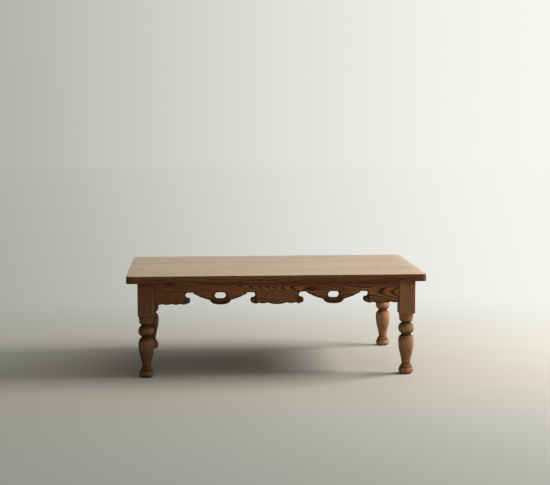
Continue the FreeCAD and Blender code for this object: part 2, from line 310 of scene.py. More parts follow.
def pick(piece, kind, test):
    # Selects only the edges or faces that pass the test, and leaves the piece in edit mode
    work_on(piece)
    bpy.ops.object.mode_set(mode="EDIT")
    bpy.ops.mesh.select_mode(type=kind)
    bpy.ops.mesh.select_all(action="DESELECT")
    bpy.ops.object.mode_set(mode="OBJECT")
    mesh = piece.data
    for part in {"EDGE": mesh.edges, "FACE": mesh.polygons}[kind]:
        if test(mesh, part):
            part.select = True
    bpy.ops.object.mode_set(mode="EDIT")


def edge_ends(mesh, edge):
    return [mesh.vertices[index].co for index in edge.vertices]


def upright_edge(mesh, edge):
    one, two = edge_ends(mesh, edge)
    return (one - two).xy.length < near


def bevel_edges(piece, test, width, steps):
    pick(piece, "EDGE", test)
    bpy.ops.mesh.bevel(offset=width, segments=steps, affect="EDGES")
    leave_edit()


def apply_modifier(piece, kind, **settings):
    work_on(piece)
    modifier = piece.modifiers.new(kind.lower(), kind)
    for name, value in settings.items():
        setattr(modifier, name, value)
    bpy.ops.object.modifier_apply(modifier=modifier.name)


def place_in_mesh():
    bpy.ops.object.transform_apply(location=True, rotation=True, scale=True)


def new_block(name, low, high):
    # A block between two corners, with its place in its mesh
    start_alone()
    middle = (Vector(low) + Vector(high)) / 2
    bpy.ops.mesh.primitive_cube_add(size=1, location=middle)
    piece = bpy.context.active_object
    piece.name = name
    piece.scale = Vector(high) - Vector(low)
    place_in_mesh()
    return piece


def cut_picked(axis, place):
    # Cuts a line across all that is selected at a place along an axis
    normal = Vector((0, 0, 0))
    normal[axis] = 1
    bpy.ops.mesh.bisect(plane_co=normal * place, plane_no=normal)


def cut_lines(piece, axis, places):
    # Cuts lines across the whole piece, for later shaping
    edit_all(piece)
    for place in places:
        bpy.ops.mesh.select_all(action="SELECT")
        cut_picked(axis, place)
    leave_edit()


def paint(piece, name, value_at):
    # A number on each vertex, which a material can read
    attribute = piece.data.attributes.new(name, "FLOAT", "POINT")
    attribute.data.foreach_set("value", [value_at(vertex) for vertex in piece.data.vertices])


def rise(value, start, end, most=1.0):
    # From zero at start to the most at end, and level outside
    return most * min(1.0, max(0.0, (value - start) / (end - start)))


def report(piece):
    shape = bmesh.new()
    shape.from_mesh(piece.data)
    open_edges = sum(1 for edge in shape.edges if not edge.is_manifold)
    litres = shape.calc_volume(signed=True) * 1000
    shape.free()
    piece.data.calc_loop_triangles()
    print(piece.name, "triangles", len(piece.data.loop_triangles), "open edges", open_edges,
          "litres", round(litres, 3))


# %% [markdown]
# ## The top: three boards
# The real top is made of three boards that are glued edge to edge, with a loose tongue hidden in each joint.
# A board could be one stretched cube, but its light would be as flat as plastic. So each board is cut into
# a net of fields, its corners and arrises are rounded, and it is then pressed in by a millimetre or so here
# and there, as planing and years of use do. The press only goes inwards, so the size stays true.

# %% Sizes of the top
half_length = cad_high.x
half_depth = cad_high.y
top_level = cad_high.z
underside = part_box("top_board_front")[0].z
seam_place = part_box("top_board_back")[0].y
corner_round = 20 * MM
corner_steps = 8
arris_round = 2.0 * MM
arris_steps = 3
seam_round = 0.5 * MM
tongue_low, tongue_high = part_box("top_tongue_back")
tongue_slack = 0.3 * MM
net_pitch = 40 * MM
dirt_reach = 5 * MM
merge_reach = near / 10
print("top thickness", round((top_level - underside) / MM, 2), "mm")
print("seams at", round(seam_place / MM, 1), "mm from the middle")

# %% Helper that grooves a seam side for the tongue


def groove(board, seam, inward):
    # A pocket in the face that looks to the seam, as deep as half the tongue
    reach = tongue_high.x + tongue_slack
    depth = (tongue_high.y - tongue_low.y) / 2 + tongue_slack

    def on_seam(mesh, face):
        return abs(face.center.y - seam) < near and abs(face.normal.y) > squarely

    def in_mouth(mesh, face):
        centre = face.center
        return on_seam(mesh, face) and abs(centre.x) < reach and tongue_low.z < centre.z < tongue_high.z

    for axis, place in ((0, reach), (0, -reach), (2, tongue_low.z), (2, tongue_high.z)):
        pick(board, "FACE", on_seam)
        cut_picked(axis, place)
    pick(board, "FACE", in_mouth)
    bpy.ops.mesh.extrude_region_move(TRANSFORM_OT_translate={"value": (0, inward * depth, 0)})
    leave_edit()


# %% [markdown]
# The outer corners and arrises are rounded, and each seam gets a tiny bevel on the upper face. The cuts beside
# the seams keep the dirt that is painted into them later to a narrow line.

# %% Make the three boards


def make_board(name, sides, outer_side):
    # A side is -1 for the front seam or edge of the top, and 1 for the back one
    low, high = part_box(name)
    depth = high.y - low.y
    seams = [(side * seam_place, 1 if low.y + depth / 2 > side * seam_place else -1) for side in sides]

    def outer_corner(mesh, edge):
        return upright_edge(mesh, edge) and abs(edge_ends(mesh, edge)[0].y - outer_side * half_depth) < near

    def in_seam(one, two):
        return any(max(abs(one.y - seam), abs(two.y - seam)) < near for seam, _ in seams)

    def outer_arris(mesh, edge):
        one, two = edge_ends(mesh, edge)
        level = abs(one.z - two.z) < near
        at_face = min(abs(one.z - top_level), abs(one.z - underside)) < near
        return level and at_face and not in_seam(one, two)

    def seam_arris(mesh, edge):
        one, two = edge_ends(mesh, edge)
        return min(one.z, two.z) > top_level - near and in_seam(one, two)

    board = new_block(name + "_dressed", low, high)
    if outer_side:
        bevel_edges(board, outer_corner, corner_round, corner_steps)
    for seam, inward in seams:
        groove(board, seam, inward)
    bevel_edges(board, outer_arris, arris_round, arris_steps)
    bevel_edges(board, seam_arris, seam_round, 1)
    lines = int(half_length / net_pitch)
    cut_lines(board, 0, [step * net_pitch for step in range(-lines, lines + 1)])
    rows = int(depth / net_pitch)
    cut_lines(board, 1, [low.y + depth * (row + 0.5) / rows for row in range(rows)])
    cut_lines(board, 1, [seam + inward * dirt_reach for seam, inward in seams])
    return board


boards = [make_board(name, sides, outer_side) for name, sides, outer_side in
          (("top_board_front", (-1,), -1), ("top_board_middle", (-1, 1), 0), ("top_board_back", (1,), 1))]
for board in boards:
    report(board)

# %% [markdown]
# ## The legs: a square block over a turned post
# A leg is one piece of square stock. The turner leaves the block square and cuts collar, neck, ball, vase,
# ankle and foot below it. A leg could be stacked from spheres and cylinders, but their joints never flow
# like a turned line. So one outline is drawn as the turner's template, and the Spin tool turns it.
# The template is a list of shares of half the leg's width and of the turned height. A row of two numbers
# is a straight stretch to that point, and a row of four is an arc through its first point to its second.

# %% Sizes and template of the leg
leg_low, leg_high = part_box("leg_front_right")
leg_width = leg_high.x - leg_low.x
leg_middle = (leg_low + leg_high) / 2
block_height = 123 * MM
turned_height = leg_high.z - block_height
leg_arris = 1.8 * MM
turning_steps = 72
outline_pitch = 2.2 * MM
sunk_into_block = 2 * MM
turned_start_share = (0.55, 0.0)
turned_shares = (
    (0.82, 0.017, 0.945, 0.056),
    (0.885, 0.092, 0.745, 0.112),
    (0.715, 0.118),
    (0.785, 0.131, 0.69, 0.143),
    (0.58, 0.152, 0.56, 0.171),
    (0.65, 0.262, 0.825, 0.358),
    (0.94, 0.440, 0.99, 0.517),
    (0.965, 0.580, 0.885, 0.611),
    (0.805, 0.628, 0.72, 0.634),
    (0.655, 0.640),
    (0.61, 0.653, 0.655, 0.667),
    (1.0, 0.751, 0.655, 0.836),
    (0.61, 0.850, 0.67, 0.864),
    (0.81, 0.874, 0.85, 0.897),
    (0.93, 0.994),
)

# %% Draw the template


def arc_points(start, through, end):
    # Points on the circle through three points, from just after the first to the last
    hub = numpy.linalg.solve(numpy.array([through - start, end - start]) * 2,
                             numpy.array([through @ through - start @ start, end @ end - start @ start]))
    spokes = [point - hub for point in (start, through, end)]
    angles = numpy.unwrap([math.atan2(spoke[1], spoke[0]) for spoke in spokes])
    radius = numpy.linalg.norm(spokes[0])
    count = max(2, round(abs(angles[2] - angles[0]) * radius / outline_pitch))
    steps = numpy.linspace(angles[0], angles[2], count + 1)[1:]
    return [hub + radius * numpy.array([math.cos(angle), math.sin(angle)]) for angle in steps]


def turned_outline():
    # Distance from the axis and height of each point of the template, from the floor up
    size = numpy.array([leg_width / 2, turned_height])
    here = numpy.array(turned_start_share) * size
    points = [numpy.array([0.0, 0.0]), here]
    for row in turned_shares:
        pairs = [numpy.array(row[index:index + 2]) * size for index in range(0, len(row), 2)]
        points += arc_points(here, *pairs) if len(pairs) == 2 else pairs
        here = pairs[-1]
    inside_block = turned_height + sunk_into_block
    return points + [numpy.array([here[0], inside_block]), numpy.array([0.0, inside_block])]


outline = turned_outline()
print("template points", len(outline), "widest", round(max(point[0] for point in outline) / MM, 2), "mm")

# %% Turn the post
start_alone()
post_foot = (leg_middle.x, leg_middle.y, 0)
bpy.ops.mesh.primitive_plane_add(size=leg_width, location=post_foot)
leg = bpy.context.active_object
leg.name = "leg_front_right_dressed"
place_in_mesh()
edit_all(leg)
bpy.ops.mesh.select_mode(type="VERT")
bpy.ops.mesh.merge(type="CENTER")
for here, there in zip(outline, outline[1:]):
    step = (there[0] - here[0], 0, there[1] - here[1])
    bpy.ops.mesh.extrude_region_move(TRANSFORM_OT_translate={"value": step})
bpy.ops.mesh.select_all(action="SELECT")
bpy.ops.mesh.spin(steps=turning_steps, angle=math.tau, center=post_foot, axis=(0, 0, 1))
bpy.ops.mesh.select_all(action="SELECT")
bpy.ops.mesh.remove_doubles(threshold=merge_reach)
bpy.ops.mesh.normals_make_consistent(inside=False)
leave_edit()
report(leg)

# %% [markdown]
# The block is cut from a cube with its upright arrises taken off, and joined to the post. The mortises for
# the tenons of the two aprons are cut last, as deep as the joint needs.

# %% Add the block
block_rows = 6
block_columns = (-0.25, 0, 0.25)


def combine(piece, other, operation):
    apply_modifier(piece, "BOOLEAN", operation=operation, object=other, solver="EXACT")
    bpy.data.objects.remove(other)


def lower_edge(mesh, edge):
    return max(end.z for end in edge_ends(mesh, edge)) < turned_height + near


block = new_block("leg_block", (leg_low.x, leg_low.y, turned_height), leg_high)
bevel_edges(block, upright_edge, leg_arris, arris_steps)
bevel_edges(block, lower_edge, leg_arris / 3, 1)
cut_lines(block, 2, [turned_height + block_height * row / block_rows for row in range(1, block_rows)])
for axis in (0, 1):
    cut_lines(block, axis, [leg_middle[axis] + leg_width * share for share in block_columns])
combine(leg, block, "UNION")
report(leg)

# %% Cut the mortises
joint_play = 0.3 * MM
tenon_length = 36 * MM
tenon_thickness = 10 * MM
tenon_height = 48 * MM
tenon_shoulder = 12 * MM
apron_low, apron_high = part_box("apron_front")
apron_thickness = apron_high.y - apron_low.y
cut_over = 2 * MM

tenon_top = leg_high.z - tenon_shoulder
tenon_foot = tenon_top - tenon_height
tenon_reach = tenon_length + joint_play
tenon_face = (apron_thickness - tenon_thickness) / 2
front_face = apron_low.y + tenon_face
side_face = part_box("apron_right")[1].x - tenon_face
for low, high in (((leg_low.x - cut_over, front_face), (leg_low.x + tenon_reach, front_face + tenon_thickness)),
                  ((side_face - tenon_thickness, leg_high.y - tenon_reach), (side_face, leg_high.y + cut_over))):
    combine(leg, new_block("mortise", (*low, tenon_foot), (*high, tenon_top)), "DIFFERENCE")
report(leg)

# %% [markdown]
# The leg is copied to the other three corners. Each copy has its own mesh, because each is then worn in its
# own way. A mirrored copy has its faces turned right side out again.

# %% Copy the leg to the other corners


def mirrored_copy(piece, name, across):
    work_on(piece)
    bpy.ops.object.duplicate()
    copy = bpy.context.active_object
    copy.name = name
    bpy.ops.transform.resize(value=across, center_override=(0, 0, 0))
    place_in_mesh()
    if across[0] * across[1] < 0:
        edit_all(copy)
        bpy.ops.mesh.normals_make_consistent(inside=False)
        leave_edit()
    return copy


corners = (("leg_front_left", (-1, 1, 1)), ("leg_back_right", (1, -1, 1)), ("leg_back_left", (-1, -1, 1)))
legs = [leg] + [mirrored_copy(leg, name + "_dressed", across) for name, across in corners]
for leg in legs:
    report(leg)

# %% [markdown]
# ## The aprons: fretted boards with a sunk border
# Each apron is a board sawn to an outline of scallops, nicks and hooks, and pierced with oval holes. Along
# the sawn edge a carver has sunk a border about five millimetres wide, with a small step up to the field.
# Old finish stays in that border, so it reads as a dark rim. A bump could fake it, but not at a close look.
# The outline is already true in the construction model, so a copy of that mesh is merged, and the Inset
# tool lays rings of points inside its show face. The rings are then pushed in by the depth of the carving.

# %% Sizes of the carving
border_steps = (0.9 * MM, 3.7 * MM, 0.9 * MM)
border_depths = (2.5 * MM, 1.9 * MM, 1.4 * MM, 0.0)
stop_length = 5 * MM
narrow_share = 0.97
flat_angle = math.radians(0.1)
print("border", round(sum(border_steps) / MM, 1), "mm wide", round(max(border_depths) / MM, 1), "mm deep")

# %% Helpers that measure the sawn outline


def outline_of(mesh, faces):
    # The edges round a set of faces, as two arrays of end points and as pairs of vertices
    counts = {}
    for face in faces:
        for key in face.edge_keys:
            counts[key] = counts.get(key, 0) + 1
    rim = [key for key, count in counts.items() if count == 1]
    return [numpy.array([mesh.vertices[key[side]].co for key in rim]) for side in (0, 1)], rim


def distance_to(ends, point):
    # How far a point is from the nearest of the edges
    start, end = ends
    along = end - start
    point = numpy.array(point)
    share = ((point - start) * along).sum(1) / (along * along).sum(1)
    foot = start + along * share.clip(0, 1)[:, None]
    return numpy.linalg.norm(point - foot, axis=1).min()


def walk(rim):
    # The rings that a set of edges makes, each as its points in order
    beside = {}
    for one, two in rim:
        beside.setdefault(one, []).append(two)
        beside.setdefault(two, []).append(one)
    rings = []
    while beside:
        ring = [next(iter(beside))]
        while True:
            onward = [index for index in beside.pop(ring[-1]) if index in beside]
            if not onward:
                break
            ring.append(onward[0])
        rings.append(ring)
    return rings


def sideways_of(outward):
    # The level direction along an apron whose show face looks outward
    return Vector((0, 0, 1)).cross(outward)


def show_level(piece, outward):
    # How far out the show face lies
    return max(vertex.co.dot(outward) for vertex in piece.data.vertices)


def shows(face, outward, level):
    return face.normal.dot(outward) > squarely and abs(face.center.dot(outward) - level) < near


def sawn_only(ends, along):
    # Leaves out the edges under the top and at the two ends, and tells how far out the ends are
    places = [numpy.abs(side @ numpy.array(along)) for side in ends]
    reach = places[0].max()
    under_top = numpy.minimum(ends[0][:, 2], ends[1][:, 2]) > ends[0][:, 2].max() - near
    sawn = ~(under_top | (numpy.minimum(*places) > reach - near))
    return [side[sawn] for side in ends], reach


# %% Helpers that carve the border


def settle_ring(piece, ends, wanted):
    # In a narrow tip a ring runs over itself. Its points there go back to the last ones that have room.
    leave_edit()
    mesh = piece.data
    moved = 0
    _, rim = outline_of(mesh, [face for face in mesh.polygons if face.select])
    for ring in walk(rim):
        roomy = [distance_to(ends, mesh.vertices[index].co) > wanted * narrow_share for index in ring]
        first = roomy.index(True)
        ring = ring[first:] + ring[:first + 1]
        roomy = roomy[first:] + roomy[:first + 1]
        for place in range(1, len(ring) - 1):
            if not roomy[place]:
                places = (place, roomy.index(True, place), place - 1)
                here, after, before = [mesh.vertices[ring[index]] for index in places]
                here.co = min((after.co, before.co), key=lambda end: (here.co - end).length)
                moved += 1
    bpy.ops.object.mode_set(mode="EDIT")
    return moved


def merged_copy(node):
    # A copy of the sawn board, with its loose triangles merged into whole faces
    piece = new_object(node + "_dressed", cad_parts[node].data.copy())
    edit_all(piece)
    bpy.ops.mesh.remove_doubles(threshold=merge_reach)
    bpy.ops.mesh.dissolve_limited(angle_limit=flat_angle)
    leave_edit()
    return piece


def carve_border(piece, outward):
    # Rings of points inside the show face, which are then pushed in
    mesh = piece.data
    level = show_level(piece, outward)
    along = sideways_of(outward)
    ends, _ = outline_of(mesh, [face for face in mesh.polygons if shows(face, outward, level)])
    sawn_ends, reach = sawn_only(ends, along)
    inside = 0.0
    pick(piece, "FACE", lambda mesh, face: shows(face, outward, level))
    for step in border_steps:
        bpy.ops.mesh.inset(thickness=step, depth=0)
        inside += step
        moved = settle_ring(piece, ends, inside)
        print(piece.name, "ring", round(inside / MM, 1), "mm, points set back", moved)
    bpy.ops.mesh.select_all(action="SELECT")
    bpy.ops.mesh.remove_doubles(threshold=merge_reach)
    bpy.ops.mesh.dissolve_degenerate(threshold=merge_reach)
    leave_edit()
    stops = numpy.concatenate(([0.0], numpy.cumsum(border_steps)))
    for vertex in mesh.vertices:
        if abs(vertex.co.dot(outward) - level) > near:
            continue
        apart = distance_to(sawn_ends, vertex.co)
        stopped = rise(reach - abs(vertex.co.dot(along)), 0, stop_length)
        vertex.co -= outward * float(numpy.interp(apart, stops, border_depths)) * stopped


# %% [markdown]
# Every hook ends in a scroll. Its eye is closed with a round groove, cut with a ring that is sunk into the
# face, so that the border seems to curl round the eye.

# %% Helper that grooves the hooks
hook_reach = 123 * MM
hook_radius = 11.2 * MM
hook_depth = 77 * MM
motif_share = 0.461
eye_radius = hook_radius - sum(border_steps) + 1.2 * MM
groove_radius = 1.35 * MM
groove_rise = 0.35 * MM
hook_level = underside - hook_depth + hook_radius
motif_place = leg_low.x * motif_share
long_hooks = [side * (motif_place + way * hook_reach) for side in (-1, 1) for way in (-1, 1)]
side_hooks = [-hook_reach, hook_reach]


def groove_hooks(piece, outward, places):
    # One ring round each eye, all joined into one cutter
    level = show_level(piece, outward) + groove_rise
    turn = outward.to_track_quat("Z", "Y").to_euler()
    rings = []
    for place in places:
        start_alone()
        middle = sideways_of(outward) * place + outward * level + Vector((0, 0, hook_level))
        bpy.ops.mesh.primitive_torus_add(location=middle, rotation=turn, major_radius=eye_radius,
                                         minor_radius=groove_radius, major_segments=40, minor_segments=10)
        rings.append(bpy.context.active_object)
    for ring in rings:
        ring.select_set(True)
    bpy.ops.object.join()
    cutter = bpy.context.active_object
    place_in_mesh()
    combine(piece, cutter, "DIFFERENCE")


print("eyes at", [round(place / MM, 1) for place in long_hooks], "mm on the long aprons")

# %% [markdown]
# The carver went on after the sawing: the strip that hangs under each oval falls away towards its lower
# edge, and the end of each hook is rounded like a button. Both need points inside the flat face, so a net
# of fine lines is cut across the finished board, and the points of its show face are then pushed in.

# %% Helper that rounds the lobes and the hook ends
apron_net = 7 * MM
oval_level = underside - 47.5 * MM
oval_half = 12.25 * MM
lobe_half = 39.5 * MM
lobe_begins = 0.2 * oval_half
lobe_ends = 2.6 * oval_half
lobe_edge = 0.15 * lobe_half
lobe_fall = 2.6 * MM
lobe_shade = 0.85
hook_flat = 0.25 * hook_radius
hook_beyond = 1.25 * hook_radius
hook_fall = 2.2 * MM
hook_shade = 0.9


def lobe_share(across, height, lobes):
    # One at the lower edge of a lobe, and zero beside it and from the oval upwards
    sideways = min(abs(across - place) for place in lobes)
    down = oval_level - height
    outside = rise(Vector((sideways * oval_half / lobe_half * 2, down)).length, oval_half, lobe_ends)
    return rise(down, lobe_begins, oval_half, outside) * rise(lobe_half - sideways, 0, lobe_edge)


def hook_share(across, height, hooks):
    # Zero in the middle of a hook's end, and one at its rim and a little beyond
    off = min(Vector((across - place, height - hook_level)).length for place in hooks)
    return rise(off, hook_flat, hook_radius, rise(off, hook_beyond, hook_radius))


def round_over(piece, outward, hooks, lobes):
    along = sideways_of(outward)
    low, high = [Vector(corner) for corner in (piece.bound_box[0], piece.bound_box[6])]
    for axis in (0 if outward.y else 1, 2):
        lines = round((high[axis] - low[axis]) / apron_net)
        cut_lines(piece, axis, [low[axis] + (index + 0.5) * apron_net for index in range(lines)])
    level = show_level(piece, outward)
    # Painted shade: the strip under each oval and the rim of each hook end are also painted darker
    shade = piece.data.attributes.new("shade", "FLOAT", "POINT")
    for vertex in piece.data.vertices:
        across, height = vertex.co.dot(along), vertex.co.z
        lobe, hook = lobe_share(across, height, lobes), hook_share(across, height, hooks)
        shade.data[vertex.index].value = max(lobe_shade * lobe, hook_shade * hook)
        if level - vertex.co.dot(outward) < max(border_depths) + near:
            vertex.co -= outward * max(lobe_fall * lobe, hook_fall * hook)


# %% Make the four aprons
aprons = {}
for node, outward in (("apron_front", (0, -1, 0)), ("apron_back", (0, 1, 0)),
                      ("apron_left", (-1, 0, 0)), ("apron_right", (1, 0, 0))):
    outward = Vector(outward)
    hooks, lobes = (long_hooks, (-motif_place, motif_place)) if outward.y else (side_hooks, (0.0,))
    piece = merged_copy(node)
    carve_border(piece, outward)
    groove_hooks(piece, outward, hooks)
    round_over(piece, outward, hooks, lobes)
    report(piece)
    aprons[node] = (piece, outward)

# %% [markdown]
# ## Handwork and wear
# A turner's hand leaves the post a little uneven, and a plane leaves faint hollows in a board. A Displace
# modifier presses the surface in along a soft cloud, and a painted weight keeps it off the joints, the foot
# and the seams. Its middle level of one means that it only ever takes wood away.

# %% Helpers that press a piece in


def new_cloud(size):
    cloud = bpy.data.textures.new("hand_" + str(round(size / MM)), "CLOUDS")
    cloud.noise_scale = size
    cloud.noise_depth = 1
    return cloud


def press(piece, cloud, depth, weight_at):
    group = piece.vertex_groups.new(name="pressed")
    for vertex in piece.data.vertices:
        group.add([vertex.index], weight_at(vertex), "REPLACE")
    apply_modifier(piece, "DISPLACE", texture=cloud, texture_coords="LOCAL", strength=depth,
                   mid_level=1.0, vertex_group=group.name)
    piece.vertex_groups.clear()


# %% Press the boards and the legs
board_hollow = 0.26
board_press = 1.6 * MM
leg_hollow = 0.045
leg_press = 0.6 * MM
joint_margin = 30 * MM
foot_margin = 3 * MM


def board_weight(vertex):
    # Nothing moves at a seam or on the underside, where the joints are
    from_seam = abs(abs(vertex.co.y) - seam_place)
    return rise(from_seam, 0, joint_margin) * rise(vertex.co.z, underside + arris_round, top_level)


def leg_weight(vertex):
    # Nothing moves under the foot or at the top of the block
    return rise(vertex.co.z, 0, foot_margin) * rise(underside - vertex.co.z, 0, foot_margin)


for pieces, size, depth, weight_at in ((boards, board_hollow, board_press, board_weight),
                                       (legs, leg_hollow, leg_press, leg_weight)):
    cloud = new_cloud(size)
    for piece in pieces:
        press(piece, cloud, depth, weight_at)
print("widest leg now", round(legs[0].dimensions.x / MM, 2), "mm")

# %% [markdown]
# ## Where old finish stays, where shade is painted and where hands have rubbed
# A finish that is the same all over looks new. Three painted numbers tell the material where it is darker or
# worn.
# The first is high where dark finish and dust gather, and also where shade is painted. The second is high where
# the finish has worn through. The third, which the aprons got above, is painted shade where carving turns a face
# down. They are worked out from the shape itself. On a leg, dark finish gathers where the post is narrower than
# the wood above and below it, and shade is painted where a face looks down and under the block and the top. The
# arrises, the widest beads and the feet are rubbed.

# %% Paint the legs
half_leg = leg_width / 2
top_shade = (underside - 14 * MM, underside, 0.6)
block_shade = (turned_height - 3 * MM, turned_height, 0.3)
groove_reach = 4 * MM
groove_range = (0.8 * MM, 2.6 * MM, 0.7)
neck_reach = 11 * MM
neck_range = (2.8 * MM, 7.2 * MM)
low_neck_dark = 0.5
low_necks = (0.2 * turned_height, 0.4 * turned_height, 1 - low_neck_dark)
looks_down = (0.12, 0.75, 0.5)
foot_wear = (42 * MM, 12 * MM, 0.75)
corner_wear = (half_leg - 2.6 * MM, half_leg - leg_arris * 0.3)
bead_wear = (half_leg - 4 * MM, half_leg)
around = numpy.array((-1, -0.6, -0.3, 0.3, 0.6, 1))
radii, heights = zip(*outline[1:-2])


def sunk(height, reach):
    # How far the post is narrower here than a little above or below
    widest = numpy.interp(height + reach * around, heights, radii).max()
    return float(widest - numpy.interp(height, heights, radii))


# Painted shade under the top, under the block and where a face looks down, and dark finish in grooves and necks
def leg_hollow_at(vertex):
    height = vertex.co.z
    if height > turned_height:
        return rise(height, *top_shade)
    neck_dark = low_neck_dark + rise(height, *low_necks)
    return max(rise(height, *block_shade), rise(sunk(height, groove_reach), *groove_range),
               rise(sunk(height, neck_reach), *neck_range, neck_dark), rise(-vertex.normal.z, *looks_down))


def leg_rubbed_at(vertex):
    across = Vector((abs(vertex.co.x) - leg_middle.x, abs(vertex.co.y) - abs(leg_middle.y)))
    if vertex.co.z > turned_height + near:
        return rise(min(abs(across.x), abs(across.y)), *corner_wear)
    return max(rise(vertex.co.z, *foot_wear), rise(across.length, *bead_wear))


def paint_wear(piece, hollow_at, rubbed_at):
    paint(piece, "hollow", hollow_at)
    paint(piece, "rubbed", rubbed_at)


for leg in legs:
    paint_wear(leg, leg_hollow_at, leg_rubbed_at)
print("heights of the template", len(heights))

# %% [markdown]
# Wax and dirt fill the seams of the top. At the right end the front seam has parted a little and is darker.
# The underside was never wiped, and the edges of the top are rubbed by hands and knees.

# %% Paint the boards
rub_reach = 9 * MM
seam_dark = 0.3
seam_parted = (250 * MM, 420 * MM, 0.65)
never_wiped_dark = 0.5


def board_rubbed_at(vertex):
    edge = min(half_length - abs(vertex.co.x), half_depth - abs(vertex.co.y))
    return rise(vertex.co.z, underside, top_level, rise(edge, rub_reach, 0))


def board_hollow_at(vertex):
    from_seam = abs(abs(vertex.co.y) - seam_place)
    if vertex.co.z > top_level - 2 * seam_round and from_seam < 2 * seam_round:
        return seam_dark + (rise(vertex.co.x, *seam_parted) if vertex.co.y < 0 else 0.0)
    return never_wiped_dark if vertex.co.z < underside + near else 0.0


for board in boards:
    paint_wear(board, board_hollow_at, board_rubbed_at)

# %% [markdown]
# On an apron the carved border and the sawn walls are dark, less so towards the back. The strip under the top
# is painted darker, as painted shade of the overhang, and the wood is painted darker towards the left end, away
# from the window, as painted shade. Along the outer rim of the border the carver's edge is rubbed in a thin
# line.

# %% Paint the aprons
carved_deep = 1.2 * MM
sawn_wall = (6 * MM, apron_thickness, 0.3)
shade_away_from_window = (-120 * MM, -400 * MM, 0.42)
overhang_shade = (underside - 24 * MM, underside)
overhang_dark = 0.62
overhang_curve = 1.4
rim_from = (1.6 * MM, 2.5 * MM)
rim_to = (3.0 * MM, 2.6 * MM)


def paint_apron(piece, outward):
    level = show_level(piece, outward)

    def hollow_at(vertex):
        depth = level - vertex.co.dot(outward)
        carved = rise(depth, 0, carved_deep, 1 - rise(depth, *sawn_wall))
        # Painted shade under the overhang of the top, and towards the left end, away from the window
        shaded = overhang_dark * rise(vertex.co.z, *overhang_shade) ** overhang_curve
        return max(carved, shaded, rise(vertex.co.x, *shade_away_from_window))

    def rubbed_at(vertex):
        depth = level - vertex.co.dot(outward)
        return rise(depth, *rim_from, rise(depth, *rim_to))

    paint_wear(piece, hollow_at, rubbed_at)


for piece, outward in aprons.values():
    paint_apron(piece, outward)

# %% [markdown]
# ## The wood
# The table is made of a ring-porous hardwood: each year's ring starts with a band of open pores that takes
# the finish dark, and ends in dense pale wood. The pattern is solid. So the material doesn't paint pictures
# of grain on faces: it lays the board inside a tree. It measures how far each point is from the middle of
# the stem, bends the stem a little, and turns the distance into rings. Flat faces then show cathedrals,
# turned beads show contour lines, and end grain shows arcs, all from one formula. A real trunk also tapers
# and swells, and a saw seldom follows its heart line. On a board that runs close to the heart, those three
# turn the straight lines into the long arrowheads that the front apron shows.

# %% Helpers for patterns


def vary(tree, place, along, across, detail=2.0, roughness=0.5, output="Fac"):
    # Cloudy noise, stretched to so many waves in a metre along the grain and across it
    scaled = vector_calc(tree, "MULTIPLY", place, (along, across, across))
    sockets = {"Vector": scaled, "Scale": 1.0, "Detail": detail, "Roughness": roughness}
    return add_node(tree, "ShaderNodeTexNoise", sockets).outputs[output]


def ramp(tree, value, stops):
    made = add_node(tree, "ShaderNodeValToRGB", {0: value})
    steps = made.color_ramp.elements
    while len(steps) < len(stops):
        steps.new(0.5)
    for step, (position, grey) in zip(steps, stops):
        step.position = position
        step.color = (grey, grey, grey, 1)
    return made.outputs[0]


def painted(tree, name):
    return add_node(tree, "ShaderNodeAttribute", attribute_name=name).outputs["Fac"]


def surface(tree, sockets, **bump):
    # A Principled surface with a fine relief, as the output
    relief = add_node(tree, "ShaderNodeBump", bump).outputs[0]
    skin = add_node(tree, "ShaderNodeBsdfPrincipled", {**sockets, "Normal": relief})
    add_node(tree, "ShaderNodeOutputMaterial", {0: skin.outputs[0]})


def finish_with(piece, *finishes):
    piece.data.materials.clear()
    for finish in finishes:
        piece.data.materials.append(finish)


# %% Lay a piece in the tree
along_grain = {"X": (0, 0, 0), "Y": (0, 0, -math.pi / 2), "Z": (0, math.pi / 2, 0)}


def lay_in_tree(tree, grain, heart, slant):
    # The piece's own place, turned so that the tree's heart runs along the first axis. The slant is how far
    # the saw went off the heart's line.
    turn_to_heart = Euler((0, *slant)).to_matrix() @ Euler(along_grain[grain]).to_matrix()
    sockets = {"Vector": own_place(tree), "Location": -(turn_to_heart @ Vector(heart)),
               "Rotation": turn_to_heart.to_euler()}
    return add_node(tree, "ShaderNodeMapping", sockets).outputs[0]


# %% Year rings
ring_shades = ((0.0, 0.06), (0.16, 0.12), (0.45, 0.68), (0.8, 1.0), (0.94, 0.85), (1.0, 0.2))
wiggle_waves = (22, 130)
wiggle_share = 0.6


def rings(tree, laid, ring_width, bend, bend_waves, taper, swelling, swelling_length):
    # Place within a year's ring, from zero at its porous start to one at its dense end
    slow = vary(tree, laid, *bend_waves, detail=2.5, output="Color")
    shift = vector_calc(tree, "MULTIPLY_ADD", slow, (0, 2 * bend, 2 * bend), (0, -bend, -bend))
    across = vector_calc(tree, "MULTIPLY", vector_calc(tree, "ADD", laid, shift), (0, 1, 1))
    far = vector_calc(tree, "LENGTH", across, output="Value")
    along = parts_of(tree, laid)["X"]
    wave = calc(tree, "SINE", calc(tree, "MULTIPLY", along, math.tau / swelling_length))
    grown = calc(tree, "MULTIPLY_ADD", wave, swelling, calc(tree, "MULTIPLY", along, taper))
    count = calc(tree, "DIVIDE", calc(tree, "SUBTRACT", far, grown), ring_width)
    wiggle = calc(tree, "MULTIPLY", vary(tree, laid, *wiggle_waves, detail=3.0), wiggle_share)
    return calc(tree, "FRACT", calc(tree, "ADD", count, wiggle))


# %% [markdown]
# The colour is built up in layers, as it lies on real wood: the rings between dark and pale, then patches of
# a redder and a yellower tone, fibres, strands and broad areas, and last the pores, which hold old finish.
# Each layer has its waves in a metre, and the range of the noise over which it goes from one end to the other.

